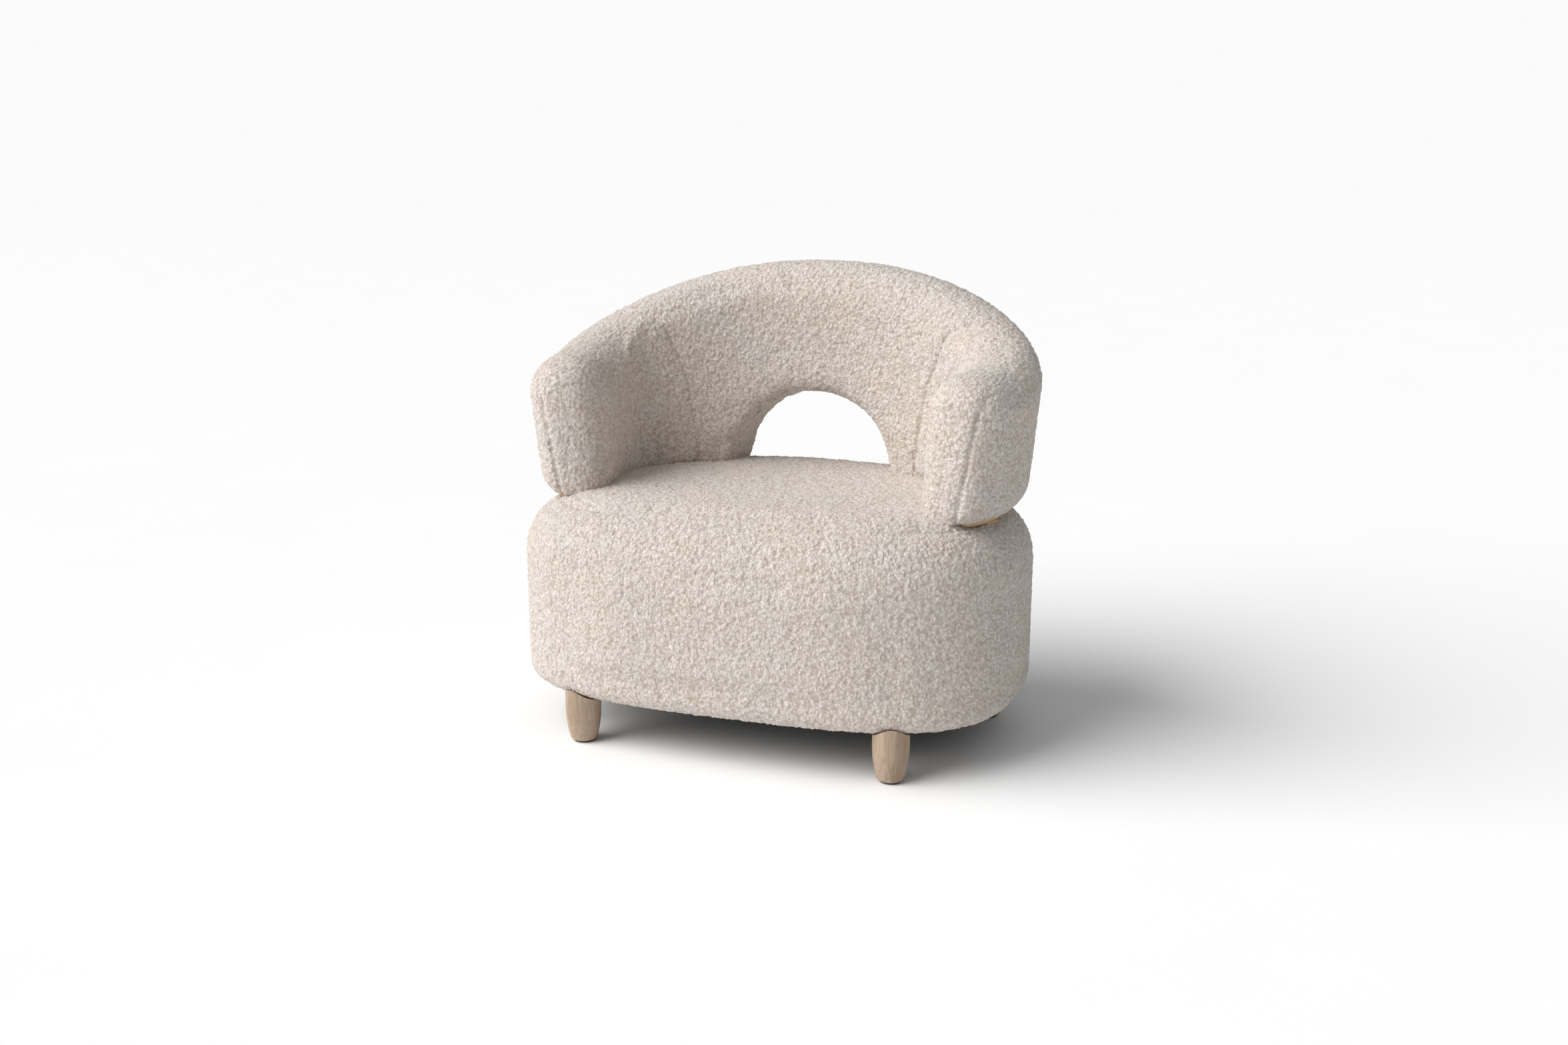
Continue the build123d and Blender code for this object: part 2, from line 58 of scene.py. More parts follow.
SEAT_CROWN = 0.009

# Horseshoe back and arms, on their middle line.
BACK_THICKNESS = 0.137
MID_HALF_WIDTH = 0.3415
MID_REAR = 0.2035
TOE_REACH = 0.163
ARM_SQUARENESS = 3.4
NOSE_Y = -0.069
NOSE_LENGTH = 0.102
NOSE_SQUARENESS = 3
NOSE_LIFT = 0.012
NOSE_DROP = 0.040
BACK_BOTTOM = 0.374
ARM_TOP = 0.615
BACK_TOP = 0.756
RIM_SWEEP = 1.57
BACK_LEAN = 0.049
SECTION_ROUND = (0.4, 0.85, 0.92, 0.9)

# Archway.
ARCH_HALF_WIDTH = 0.140
ARCH_SPRING = 0.385
ARCH_HEIGHT = 0.136
ARCH_GROW = 0.008

# Padding: the forms start smaller by the slack, and swell back under pressure.
SLACK = 0.006
PAD_MESH = 0.005
PUFF_PRESSURE = 4
PUFF_FRAMES = 20
PUFF_LIMIT = 0.007

# Pile: the size and height of its curls, and of the clumps that they lie in.
CURL = 0.0065
CURL_HEIGHT = 0.0028
CLUMP = 0.022
CLUMP_HEIGHT = 0.0022

# Sewn seams: stitch width and depth, then the width and depth of the pull beside it.
POD_STITCH = (0.003, 0.0018, 0.012, 0.001)
JOIN_STITCH = (0.0032, 0.0034, 0.014, 0.0012)
NOSE_STITCH = (0.0032, 0.0036, 0.014, 0.0012)
ARCH_STITCH = (0.003, 0.0026, 0.010, 0.001)
JOIN_Y = 0.098
JOIN_LEAN = 0.020
NOSE_SEAM_OUT = 0.021
NOSE_SEAM_LEAN = 0.19
ARCH_SEAM_OUT = 0.050


# ---------------------------------------------------------------- forms


def signed_power(value, power):
    return math.copysign(abs(value) ** power, value)


def close_ring(mesh, places):
    """One closed ring of points, moved to its places."""
    ring = bmesh.ops.create_circle(mesh, segments=len(places), radius=1)["verts"]
    for corner, place in zip(ring, places):
        corner.co = place
    edges = set()
    for corner in ring:
        edges.update(corner.link_edges)
    return list(edges)


def skin_over(name, rings):
    """Closed form stretched over a row of rings."""
    mesh = bmesh.new()
    edges = [close_ring(mesh, ring) for ring in rings]
    for near, far in zip(edges, edges[1:]):
        bmesh.ops.bridge_loops(mesh, edges=near + far)
    for end in (edges[0], edges[-1]):
        bmesh.ops.edgenet_fill(mesh, edges=end)
    bmesh.ops.recalc_face_normals(mesh, faces=mesh.faces)
    return into_object(name, mesh)


def into_object(name, mesh):
    data = bpy.data.meshes.new(name)
    mesh.to_mesh(data)
    mesh.free()
    piece = bpy.data.objects.new(name, data)
    bpy.context.scene.collection.objects.link(piece)
    return piece


def settle(piece):
    """Take the piece's modifiers into its mesh."""
    graph = bpy.context.evaluated_depsgraph_get()
    done = bpy.data.meshes.new_from_object(piece.evaluated_get(graph))
    piece.modifiers.clear()
    piece.data = done
    return piece


def points_of(data):
    spots = np.empty(len(data.vertices) * 3)
    data.vertices.foreach_get("co", spots)
    return spots.reshape(-1, 3)


def normals_of(data):
    outward = np.empty(len(data.vertices) * 3)
    data.vertex_normals.foreach_get("vector", outward)
    return outward.reshape(-1, 3)


def move_points(data, spots):
    data.vertices.foreach_set("co", spots.ravel())
    data.update()


def pod_ring(inset, height, count=120):
    """Ring round the D-shaped plan, drawn in by an inset."""
    ring = []
    for step in range(count):
        angle = 2 * math.pi * (step + 0.5) / count
        across, along = math.cos(angle), math.sin(angle)
        square = REAR_SQUARENESS if along > 0 else FRONT_SQUARENESS
        x = (POD_HALF_WIDTH - inset) * signed_power(across, 2 / square)
        y = (POD_REACH - inset) * signed_power(along, 2 / square)
        ring.append((x, y, height))
    return ring


def pod_form():
    """The seat pod: a soft drum with a small round below and a large one above."""
    low = POD_BOTTOM + HEM_SLACK
    rings = [pod_ring(inset, low) for inset in (0.25, 0.15, 0.08)]
    for step in range(9):
        turn = math.pi / 2 * step / 8
        inset = SLACK + HEM_ROUND * (1 - math.sin(turn))
        rings.append(pod_ring(inset, low + HEM_ROUND * (1 - math.cos(turn))))
    for step in range(1, 7):
        share = step / 7
        height = low + HEM_ROUND
        height += (POD_TOP - POD_TOP_ROUND - height) * share
        rings.append(pod_ring(SLACK, height))
    for step in range(13):
        turn = math.pi / 2 * step / 12
        inset = SLACK + POD_TOP_ROUND * (1 - math.cos(turn))
        rings.append(pod_ring(inset, POD_TOP - SLACK - POD_TOP_ROUND * (1 - math.sin(turn))))
    for inset in (0.13, 0.17, 0.21, 0.25, 0.28):
        rings.append(pod_ring(inset, POD_TOP - SLACK))
    return skin_over("seat_pod", rings)


def path_point(angle):
    """Point and outward normal on the horseshoe's middle line; 90 degrees is the rear."""
    turn = math.radians(angle)
    across, along = math.cos(turn), math.sin(turn)
    square = REAR_SQUARENESS if along > 0 else ARM_SQUARENESS
    reach = MID_REAR if along > 0 else TOE_REACH
    x = MID_HALF_WIDTH * signed_power(across, 2 / square)
    y = reach * signed_power(along, 2 / square)
    slope_x = signed_power(x / MID_HALF_WIDTH, square - 1) / MID_HALF_WIDTH
    slope_y = signed_power(y / reach, square - 1) / reach
    return Vector((x, y, 0)), Vector((slope_x, slope_y, 0)).normalized()


NOSE_ANGLE = -math.degrees(math.asin((-NOSE_Y / TOE_REACH) ** (ARM_SQUARENESS / 2)))


def rim_height(y):
    """Height of the rim: lowest at the noses, then sweeping up to the back."""
    share = min(max((y - NOSE_Y) / (MID_REAR - NOSE_Y), 0), 1)
    return ARM_TOP + (BACK_TOP - ARM_TOP) * share**RIM_SWEEP


def section_ring(spot, normal, fullness):
    """Rounded cross-section of the horseshoe at one place on its middle line."""
    half = (BACK_THICKNESS / 2 - SLACK) * fullness
    low = BACK_BOTTOM + HEM_SLACK + NOSE_LIFT * (1 - fullness)
    high = rim_height(spot.y) - SLACK - NOSE_DROP * (1 - fullness**2)
    lean = BACK_LEAN * (high - low)
    radii = [half * share for share in SECTION_ROUND]
    corners = (
        (-half, low, 1, 1, 180),
        (half, low, -1, 1, 270),
        (half + lean, high, -1, -1, 0),
        (-half + lean, high, 1, -1, 90),
    )
    ring = []
    for (across, up, inward, upward, start), radius in zip(corners, radii):
        centre = (across + inward * radius, up + upward * radius)
        for step in range(9):
            turn = math.radians(start + 90 * step / 8)
            sideways = centre[0] + radius * math.cos(turn)
            ring.append(
                (
                    spot.x + normal.x * sideways,
                    spot.y + normal.y * sideways,
                    centre[1] + radius * math.sin(turn),
                )
            )
    return ring


def horseshoe_form():
    """Back and arms in one form, from one nose round to the other."""
    start, normal = path_point(NOSE_ANGLE)
    forward = Vector((normal.y, -normal.x, 0))
    right = []
    for turn in (89.4, 88, 86, 82, 76, 70, 60, 50, 40, 30, 20, 10):
        reach = math.sin(math.radians(turn))
        spot = start + forward * (NOSE_LENGTH - SLACK) * reach
        right.append((spot, normal, (1 - reach**NOSE_SQUARENESS) ** (1 / NOSE_SQUARENESS)))
    count = 34
    for step in range(count + 1):
        spot, outward = path_point(NOSE_ANGLE + (90 - NOSE_ANGLE) * step / count)
        right.append((spot, outward, 1))
    left = []
    for spot, outward, fullness in right[:-1]:
        left.append((Vector((-spot.x, spot.y, 0)), Vector((-outward.x, outward.y, 0)), fullness))
    rings = [section_ring(*place) for place in left + right[::-1]]
    return skin_over("back_and_arms", rings)


def cut_archway(piece):
    """Take the archway out of the back."""
    mesh = bmesh.new()
    ring = bmesh.ops.create_circle(mesh, cap_ends=True, segments=128, radius=1)["verts"]
    for corner in ring:
        x, y, _ = corner.co
        corner.co = (x * (ARCH_HALF_WIDTH + ARCH_GROW), 0, ARCH_SPRING + y * (ARCH_HEIGHT + ARCH_GROW))
    pushed = bmesh.ops.extrude_face_region(mesh, geom=list(mesh.faces))["geom"]
    far = [part for part in pushed if isinstance(part, bmesh.types.BMVert)]
    bmesh.ops.translate(mesh, verts=far, vec=(0, 0.5, 0))
    bmesh.ops.recalc_face_normals(mesh, faces=mesh.faces)
    plug = into_object("archway_plug", mesh)
    cut = piece.modifiers.new("archway", "BOOLEAN")
    cut.operation = "DIFFERENCE"
    cut.solver = "EXACT"
    cut.object = plug
    settle(piece)
    bpy.data.objects.remove(plug)


# ---------------------------------------------------------------- padding


def even_out(piece, size):
    """Give the piece one even mesh."""
    pad = piece.modifiers.new("pad", "REMESH")
    pad.mode = "VOXEL"
    pad.voxel_size = size
    settle(piece)


def soften(piece, rounds, chosen=None):
    """Round the piece's edges off, all over or at the chosen points."""
    mesh = bmesh.new()
    mesh.from_mesh(piece.data)
    mesh.verts.ensure_lookup_table()
    verts = list(mesh.verts) if chosen is None else [mesh.verts[i] for i in np.flatnonzero(chosen)]
    axes = {"use_axis_x": True, "use_axis_y": True, "use_axis_z": True}
    for _ in range(rounds):
        bmesh.ops.smooth_vert(mesh, verts=verts, factor=0.5, **axes)
    mesh.to_mesh(piece.data)
    mesh.free()


def puff_up(piece):
    """Blow the padding up with cloth under pressure, and hold each point near its place."""
    rest = points_of(piece.data)
    outward = normals_of(piece.data)
    scene = bpy.context.scene
    cloth = piece.modifiers.new("stuffing", "CLOTH")
    cloth.settings.quality = 4
    cloth.settings.use_pressure = True
    cloth.settings.uniform_pressure_force = PUFF_PRESSURE
    cloth.settings.effector_weights.gravity = 0
    cloth.settings.tension_stiffness = 30
    cloth.settings.compression_stiffness = 30
    cloth.settings.bending_stiffness = 2
    cloth.point_cache.frame_start = 1
    cloth.point_cache.frame_end = PUFF_FRAMES
    for moment in range(1, PUFF_FRAMES + 1):
        scene.frame_set(moment)
    settle(piece)
    scene.frame_set(1)
    swelling = ((points_of(piece.data) - rest) * outward).sum(1)
    held = PUFF_LIMIT * np.tanh(np.maximum(swelling, 0) / PUFF_LIMIT)
    move_points(piece.data, rest + outward * held[:, None])


def refine(piece):
    """One subdivision."""
    finer = piece.modifiers.new("finer", "SUBSURF")
    finer.levels = 1
    finer.render_levels = 1
    settle(piece)


def groove(distance, width, depth, pull_width, pull_depth):
    """Depth of a sewn seam: a narrow stitch line inside a wider pull on the padding."""
    stitch = depth * np.exp(-((distance / width) ** 2))
    return stitch + pull_depth * np.exp(-((distance / pull_width) ** 2))


def ramp(value, low, high):
    share = np.clip((value - low) / (high - low), 0, 1)
    return share * share * (3 - 2 * share)


def press_seams(piece, depth):
    spots = points_of(piece.data)
    move_points(piece.data, spots - normals_of(piece.data) * depth[:, None])


def raise_pile(piece):
    """Raise the curls of the fabric from its face, as small uneven knobs."""
    curls = bpy.data.textures.new(f"{piece.name}_curls", "VORONOI")
    curls.noise_intensity = 1.2
    clumps = bpy.data.textures.new(f"{piece.name}_clumps", "CLOUDS")
    for pattern, size, strength in ((curls, CURL, -CURL_HEIGHT), (clumps, CLUMP, CLUMP_HEIGHT)):
        pattern.noise_scale = size
        lift = piece.modifiers.new(pattern.name, "DISPLACE")
        lift.texture = pattern
        lift.texture_coords = "LOCAL"
        lift.direction = "NORMAL"
        lift.mid_level = 0.45
        lift.strength = strength
    settle(piece)


def shade_smooth(piece):
    piece.data.polygons.foreach_set("use_smooth", [True] * len(piece.data.polygons))


def inside_plan(x, y, inset):
    """Rough distance inside the D-shaped plan, drawn in by an inset."""
    square = np.where(y > 0, REAR_SQUARENESS, FRONT_SQUARENESS)
    far = np.abs(x / (POD_HALF_WIDTH - inset)) ** square + np.abs(y / (POD_REACH - inset)) ** square
    return (1 - far ** (1 / square)) * (POD_REACH - inset)


def seat_pod():
    """The seat and base upholstery, with its hem round the dust cloth underneath."""
    pod = pod_form()
    even_out(pod, PAD_MESH)
    puff_up(pod)
    soften(pod, 2)
    refine(pod)
    spots = points_of(pod.data)
    x, y, z = spots.T
    dome = 1 - (x / 0.36) ** 2 - ((y - 0.06) / 0.33) ** 2
    spots[:, 2] += SEAT_CROWN * np.clip(dome, -0.2, 1) * ramp(z, 0.33, 0.39)
    hem = ramp(inside_plan(x, y, HEM_WIDTH), -0.003, 0.003) * (z < 0.1)
    spots[:, 2] += HEM_DEPTH * hem
    move_points(pod.data, spots)
    outward = normals_of(pod.data)
    slope = np.sqrt(np.clip(1 - outward[:, 2] ** 2, 0.05, 1))
    band = groove(np.abs(z - POD_SEAM) / slope, *POD_STITCH)
    press_seams(pod, band * (z > 0.3) * (outward[:, 2] < 0.97))
    raise_pile(pod)
    shade_smooth(pod)
    return pod


def middle_line():
    """Points and normals all round the horseshoe's middle line."""
    spots, outwards = [], []
    for angle in np.linspace(NOSE_ANGLE, 90, 300):
        spot, normal = path_point(angle)
        spots += [(spot.x, spot.y), (-spot.x, spot.y)]
        outwards += [(normal.x, normal.y), (-normal.x, normal.y)]
    return np.array(spots), np.array(outwards)


def across_wall(spots):
    """How far each point lies outside the middle line of the wall."""
    line, outward = middle_line()
    far = np.empty(len(spots))
    for start in range(0, len(spots), 4000):
        part = spots[start : start + 4000, :2]
        gap = part[:, None, :] - line[None, :, :]
        nearest = np.argmin((gap**2).sum(2), axis=1)
        rows = np.arange(len(part))
        far[start : start + 4000] = (gap[rows, nearest] * outward[nearest]).sum(1)
    return far


def arch_gap(spots):
    """Rough distance outside the archway's outline, seen from the front."""
    x, _, z = spots.T
    radius = np.sqrt((x / ARCH_HALF_WIDTH) ** 2 + ((z - ARCH_SPRING) / ARCH_HEIGHT) ** 2)
    return (radius - 1) * ARCH_HEIGHT


def seam_depths(spots, outward):
    """Depth of every seam on the horseshoe at each point."""
    x, y, z = spots.T
    wall = across_wall(spots)
    seam_y = JOIN_Y - JOIN_LEAN * ramp(z, 0.52, 0.70)
    slope = np.sqrt(np.clip(1 - outward[:, 1] ** 2, 0.1, 1))
    joins = groove(np.abs(y - seam_y) / slope, *JOIN_STITCH)
    joins *= 1 - ramp(wall, 0.0, 0.03)
    start, normal = path_point(NOSE_ANGLE)
    sideways = (np.abs(x) - start.x) * normal.x + (y - start.y) * normal.y
    ahead = (np.abs(x) - start.x) * normal.y - (y - start.y) * normal.x
    seam_side = NOSE_SEAM_OUT + NOSE_SEAM_LEAN * (z - 0.40)
    noses = groove(np.abs(sideways - seam_side), *NOSE_STITCH)
    noses *= (ahead > 0) * (1 - ramp(z, 0.545, 0.595))
    near_arch = (1 - ramp(np.abs(arch_gap(spots)), 0.012, 0.02)) * (z > 0.39)
    front = groove(np.abs(wall + ARCH_SEAM_OUT), *ARCH_STITCH)
    rear = groove(np.abs(wall - ARCH_SEAM_OUT), *ARCH_STITCH)
    return joins + noses + (front + rear) * near_arch


def back_and_arms():
    """The back and both arms."""
    back = horseshoe_form()
    cut_archway(back)
    even_out(back, PAD_MESH)
    near_arch = np.abs(arch_gap(points_of(back.data))) < 0.022
    soften(back, 10, near_arch)
    puff_up(back)
    soften(back, 2)
    refine(back)
    press_seams(back, seam_depths(points_of(back.data), normals_of(back.data)))
    raise_pile(back)
    shade_smooth(back)
    return back


# ---------------------------------------------------------------- finishes


class Amount:
    """A node socket that takes part in plain arithmetic."""

    def __init__(self, finish, socket):
        self.finish = finish
        self.socket = socket

    def _join(self, operation, first, second):
        return self.finish.node("ShaderNodeMath", {"operation": operation}, {0: first, 1: second})

    def __add__(self, other):
        return self._join("ADD", self, other)

    def __sub__(self, other):
        return self._join("SUBTRACT", self, other)

    def __rsub__(self, other):
        return self._join("SUBTRACT", other, self)

    def __mul__(self, other):
        return self._join("MULTIPLY", self, other)

    __radd__ = __add__
    __rmul__ = __mul__


class Finish:
    """One material, with its nodes made as they are asked for."""

    def __init__(self, name, **constants):
        self.material = bpy.data.materials.new(name)
        self.material.use_nodes = True
        self.tree = self.material.node_tree
        self.shader = self.tree.nodes["Principled BSDF"]
        self.place = self.node("ShaderNodeTexCoord", output="Object")
        for socket, value in constants.items():
            label = socket.replace("_", " ").title().replace("Ior", "IOR")
            self.feed(self.shader.inputs[label], value)

    def node(self, kind, settings=None, inputs=None, output=0):
        made = self.tree.nodes.new(kind)
        for name, value in (settings or {}).items():
            setattr(made, name, value)
        for name, value in (inputs or {}).items():
            self.feed(made.inputs[name], value)
        return Amount(self, made.outputs[output])

    def feed(self, socket, value):
        if isinstance(value, Amount):
            self.tree.links.new(value.socket, socket)
        else:
            socket.default_value = value

    def noise(self, scale, detail=3, roughness=0.5, place=None):
        values = {"Vector": place or self.place, "Scale": scale, "Detail": detail, "Roughness": roughness}
        return self.node("ShaderNodeTexNoise", None, values)

    def cells(self, scale, place=None):
        values = {"Vector": place or self.place, "Scale": scale}
        return self.node("ShaderNodeTexVoronoi", None, values, "Distance")

    def stretched(self, scale):
        return self.node("ShaderNodeMapping", None, {"Vector": self.place, "Scale": scale})

    def vector(self, operation, inputs):
        return self.node("ShaderNodeVectorMath", {"operation": operation}, inputs)

    def shifted(self, amount, scale):
        """The place, pushed about by a noise so that patterns curl."""
        values = {"Vector": self.place, "Scale": scale, "Detail": 2}
        swirl = self.node("ShaderNodeTexNoise", None, values, "Color")
        middle = self.vector("SUBTRACT", {0: swirl, 1: (0.5, 0.5, 0.5)})
        push = self.vector("SCALE", {0: middle, "Scale": amount})
        return self.vector("ADD", {0: self.place, 1: push})

    def blend(self, share, first, second):
        """Two colours mixed; a Mix node keeps its colour sockets at 6 and 7, and out at 2."""
        values = {0: share, 6: first, 7: second}
        return self.node("ShaderNodeMix", {"data_type": "RGBA"}, values, 2)

    def span(self, value, low, high, first=0.0, last=1.0):
        values = {"Value": value, 1: low, 2: high, 3: first, 4: last}
        return self.node("ShaderNodeMapRange", None, values)

    def finish(self, colour, roughness, relief=None, depth=0.001, strength=1.0):
        self.feed(self.shader.inputs["Base Color"], colour)
        self.feed(self.shader.inputs["Roughness"], roughness)
        if relief is not None:
            values = {"Height": relief, "Distance": depth, "Strength": strength}
            self.feed(self.shader.inputs["Normal"], self.node("ShaderNodeBump", None, values))
        return self.material


def tint(red, green, blue):
    """A colour given as it looks on a screen, from 0 to 255."""
    parts = []
    for part in (red, green, blue):
        share = part / 255
        parts.append(share / 12.92 if share <= 0.04045 else ((share + 0.055) / 1.055) ** 2.4)
    return tuple(parts)


def solid(red, green, blue):
    return (*tint(red, green, blue), 1)


def boucle():
    """Cream teddy boucle: small looped curls with painted shade between them, warm and cool patches."""
    cloth = Finish("boucle", sheen_weight=0.25, sheen_roughness=0.6, specular_ior_level=0.15)
    curled = cloth.shifted(0.004, 170)
    loops = cloth.cells(215, curled)
    tufts = cloth.cells(95, curled)
    strands = cloth.cells(520, curled)
    waves = cloth.noise(300, 2, 0.6, curled) - 0.5
    ridges = cloth.node("ShaderNodeMath", {"operation": "ABSOLUTE"}, {0: waves})
    pile = (1 - loops) * 0.7 + (1 - ridges * 4) * 0.22 + (1 - strands) * 0.25 + (1 - tufts) * 0.25
    # Painted shade: this mask colours the low places between the curls darker, where shade would fall; it
    # also sets the roughness.
    gap_shade_mask = cloth.span(pile, 0.5, 1.05)
    patches = cloth.span(cloth.noise(9, 3), 0.35, 0.65)
    light = cloth.blend(patches, solid(231, 223, 216), solid(228, 222, 218))
    # Painted shade colour for the low places between the curls.
    painted_gap_shade = cloth.blend(patches, solid(190, 174, 160), solid(186, 174, 163))
    flecks = cloth.span(cloth.noise(120, 3, 0.6), 0.55, 0.75)
    # Mixes the painted shade between the curls into the cream.
    body = cloth.blend(gap_shade_mask, painted_gap_shade, light)
    colour = cloth.blend(flecks * 0.35, body, solid(203, 184, 167))
    return cloth.finish(colour, cloth.span(gap_shade_mask, 0, 1, 0.98, 0.85), pile, 0.003, 0.8)


def limed_oak():
    """Whitened oak: pale straight grain along the leg, with open pores and a chalky film."""
    oak = Finish("limed_oak", specular_ior_level=0.35)
    along = oak.stretched((90, 90, 5))
    broad = oak.stretched((28, 28, 2.2))
    figured = {"Vector": broad, "Scale": 1, "Detail": 3, "Distortion": 0.8}
    figure = oak.node("ShaderNodeTexNoise", None, figured)
    grain = oak.node("ShaderNodeTexNoise", None, {"Vector": along, "Scale": 3, "Detail": 4})
    pores = oak.span(oak.noise(1, 2, 0.6, oak.stretched((900, 900, 28))), 0.56, 0.68)
    base = oak.blend(oak.span(figure, 0.35, 0.65), solid(180, 158, 137), solid(156, 132, 111))
    lined = oak.blend(oak.span(grain, 0.4, 0.65) * 0.5, base, solid(192, 174, 155))
    colour = oak.blend(pores * 0.55, lined, solid(118, 96, 78))
    return oak.finish(colour, 0.55 + pores * 0.2, grain * 0.4 - pores * 0.6, 0.0004, 0.6)


def plywood():
    """Birch plywood, with its plies along the edges."""
    ply = Finish("plywood", specular_ior_level=0.3)
    values = {"Vector": ply.place, "Scale": 90, "Distortion": 1.5}
    layers = ply.node("ShaderNodeTexWave", {"bands_direction": "Z"}, values)
    plies = ply.blend(layers * 0.6, solid(214, 184, 142), solid(178, 140, 98))
    grain = ply.span(ply.noise(1, 3, 0.5, ply.stretched((12, 60, 60))), 0.4, 0.7)
    colour = ply.blend(grain * 0.4, plies, solid(160, 122, 84))
    return ply.finish(colour, 0.7, ply.noise(220), 0.0003, 0.5)


def foam():
    """Open-celled cushion foam."""
    block = Finish("seat_foam_block", specular_ior_level=0.2)
    holes = block.cells(420)
    # Painted shade: the colour is darker in the cell holes, where shade would fall.
    colour = block.blend(block.span(holes, 0.1, 0.6), solid(206, 188, 132), solid(233, 220, 176))
    return block.finish(colour, 0.95, holes, 0.0012, 0.7)


def wadding():
    """Soft white fibre wrap."""
    fibre = Finish("polyester_wrap", sheen_weight=0.2, specular_ior_level=0.2)
    strands = fibre.noise(260, 5, 0.7, fibre.shifted(0.02, 30))
    colour = fibre.blend(fibre.span(strands, 0.35, 0.65), solid(214, 214, 212), solid(240, 240, 238))
    return fibre.finish(colour, 0.95, strands, 0.003, 0.7)


def plated_steel():
    """Zinc-plated steel, with a cloudy bloom."""
    steel = Finish("zinc_steel", metallic=1.0)
    bloom = steel.noise(60, 4)
    colour = steel.blend(bloom, solid(150, 152, 156), solid(192, 194, 196))
    return steel.finish(colour, steel.span(bloom, 0.3, 0.7, 0.28, 0.48), steel.noise(500), 0.0001, 0.4)


def nylon():
    """Dark speckled nylon, scuffed in places."""
    glide = Finish("nylon", specular_ior_level=0.4)
    speckle = glide.noise(700, 2)
    colour = glide.blend(speckle, solid(58, 55, 52), solid(84, 80, 76))
    return glide.finish(colour, glide.span(speckle, 0.3, 0.7, 0.45, 0.62), speckle, 0.0001, 0.5)


def hardboard():
    """Brown pressed-fibre board."""
    board = Finish("hardboard", specular_ior_level=0.25)
    fibres = board.noise(300, 5, 0.7, board.shifted(0.01, 40))
    colour = board.blend(fibres, solid(104, 74, 50), solid(142, 108, 76))
    return board.finish(colour, 0.75, fibres, 0.0003, 0.6)


def felt():
    """Grey needled felt."""
    pad = Finish("felt", sheen_weight=0.3, specular_ior_level=0.15)
    hairs = pad.noise(420, 5, 0.75, pad.shifted(0.015, 50))
    colour = pad.blend(hairs, solid(112, 108, 104), solid(168, 163, 156))
    return pad.finish(colour, 0.95, hairs, 0.001, 0.8)


def dust_cloth():
    """Thin black bonded cloth, with its small dimples."""
    cloth = Finish("dust_cloth", specular_ior_level=0.2)
    dimples = cloth.cells(450)
    # Painted shade: the colour is darker in the dimples, where shade would fall.
    colour = cloth.blend(cloth.span(dimples, 0.1, 0.6), solid(26, 25, 25), solid(52, 50, 49))
    return cloth.finish(colour, 0.9, dimples, 0.0004, 0.6)


def studio_floor():
    """Near-white paper sweep."""
    sweep = Finish("floor_paper", specular_ior_level=0.1)
    mottle = sweep.noise(3, 2)
    colour = sweep.blend(mottle, solid(250, 250, 250), solid(253, 253, 253))
    return sweep.finish(colour, 0.9)


FINISHES = {
    "boucle_fabric": boucle,
    "limed_oak": limed_oak,
    "plywood": plywood,
    "seat_foam_block": foam,
    "polyester_wrap": wadding,
    "zinc_steel": plated_steel,
    "nylon": nylon,
    "hardboard": hardboard,
    "felt": felt,
    "dust_cloth": dust_cloth,
}
made_finishes = {slot: make() for slot, make in FINISHES.items()}


def dress(piece, material):
    """Give the whole piece one finish, whatever it came with."""
    if not piece.data.materials:
        piece.data.materials.append(material)
    for place in piece.material_slots:
        place.link = "OBJECT"
        place.material = material


def dress_frame():
    """Give every carried-over node the finish that its slot names."""
    for entry in frame["record"]["subparts"]:
        dress(frame["nodes"][entry["node"]], made_finishes[entry["material_slot"]])


# ---------------------------------------------------------------- chair

dress_frame()

pod = seat_pod()
dress(pod, made_finishes["boucle_fabric"])
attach(pod, "root")
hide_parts("seat_top_cover", "seat_band_cover", "seat_foam", "seat_topper", "base_side_foam")

back = back_and_arms()
dress(back, made_finishes["boucle_fabric"])
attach(back, "root")
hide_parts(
    "back_outer_cover",
    "back_inner_cover",
    "arm_cover_left",
    "arm_cover_right",
    "arch_lining",
    "back_outer_foam",
    "back_inner_foam",
    "arm_foam_left",
    "arm_foam_right",
)


# ---------------------------------------------------------------- studio

scene = bpy.context.scene
scene.view_settings.view_transform = "Standard"

ground = bmesh.new()
bmesh.ops.create_grid(ground, x_segments=8, y_segments=8, size=30)
floor = into_object("floor", ground)
floor.data.materials.append(studio_floor())


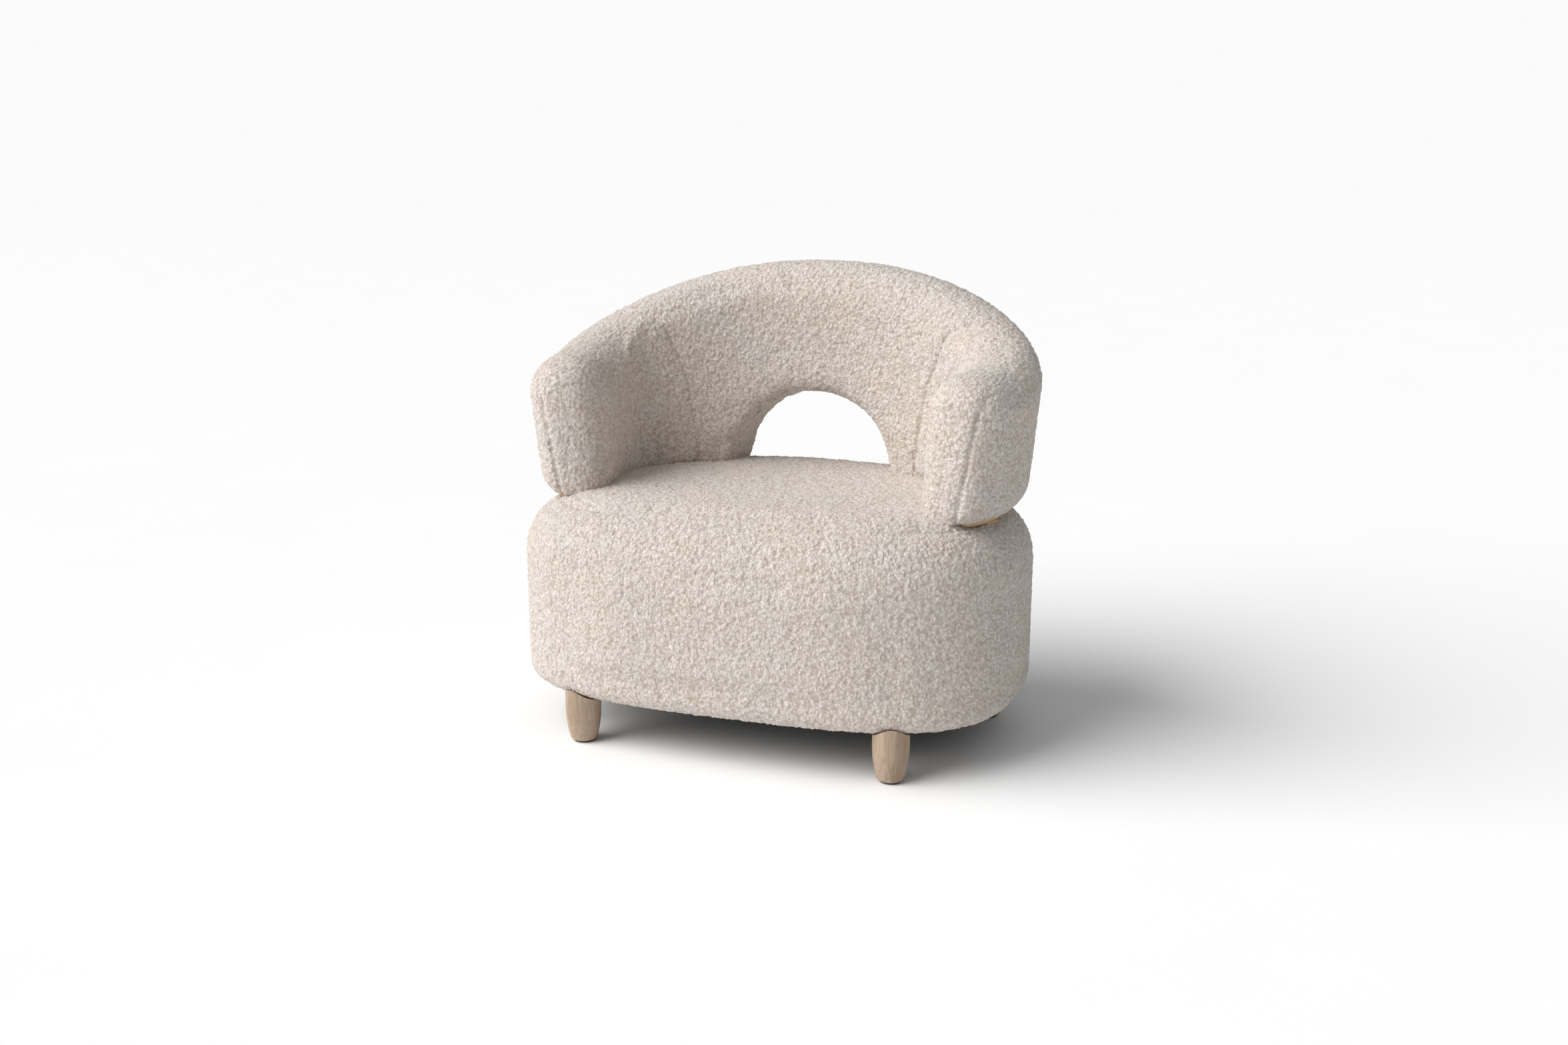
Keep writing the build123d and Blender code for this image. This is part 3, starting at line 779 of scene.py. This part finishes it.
def soft_sun(name, shining, strength, spread, colour):
    """Even light from one side; spread is in degrees, and a wide one has soft shadows."""
    lamp = bpy.data.lights.new(name, "SUN")
    lamp.energy = strength
    lamp.angle = math.radians(spread)
    lamp.color = colour
    holder = bpy.data.objects.new(name, lamp)
    scene.collection.objects.link(holder)
    holder.rotation_euler = Vector(shining).to_track_quat("-Z", "Y").to_euler()


soft_sun("window_light", (0.60, 0.40, -0.58), 3.6, 60, (1.0, 0.99, 0.98))
soft_sun("ceiling_light", (-0.1, 0.1, -1), 0.55, 110, (0.94, 0.97, 1.0))

room = bpy.data.worlds.new("studio_air")
room.use_nodes = True
air = room.node_tree
glow = air.nodes["Background"]
glow.inputs["Color"].default_value = (0.95, 0.98, 1.0, 1)
glow.inputs["Strength"].default_value = 0.15
backdrop = air.nodes.new("ShaderNodeBackground")
backdrop.inputs["Color"].default_value = (1, 1, 1, 1)
backdrop.inputs["Strength"].default_value = 0.96
seen = air.nodes.new("ShaderNodeLightPath")
either = air.nodes.new("ShaderNodeMixShader")
air.links.new(seen.outputs["Is Camera Ray"], either.inputs[0])
air.links.new(glow.outputs[0], either.inputs[1])
air.links.new(backdrop.outputs[0], either.inputs[2])
air.links.new(either.outputs[0], air.nodes["World Output"].inputs["Surface"])
scene.world = room

CAMERA_TURN = math.radians(19.65)
CAMERA_RISE = math.radians(13.01)
CAMERA_DISTANCE = 2.544
CAMERA_AIM = Vector((0, 0, 0.329))
CAMERA_SENSOR = 36
CAMERA_LENS = 34.97
view_back = Vector(
    (
        math.sin(CAMERA_TURN) * math.cos(CAMERA_RISE),
        -math.cos(CAMERA_TURN) * math.cos(CAMERA_RISE),
        math.sin(CAMERA_RISE),
    )
)
lens = bpy.data.cameras.new("camera")
lens.sensor_width = CAMERA_SENSOR
lens.lens = CAMERA_LENS
camera = bpy.data.objects.new("camera", lens)
scene.collection.objects.link(camera)
camera.location = CAMERA_AIM + view_back * CAMERA_DISTANCE
camera.rotation_mode = "QUATERNION"
camera.rotation_quaternion = (-view_back).to_track_quat("-Z", "Y")
scene.camera = camera
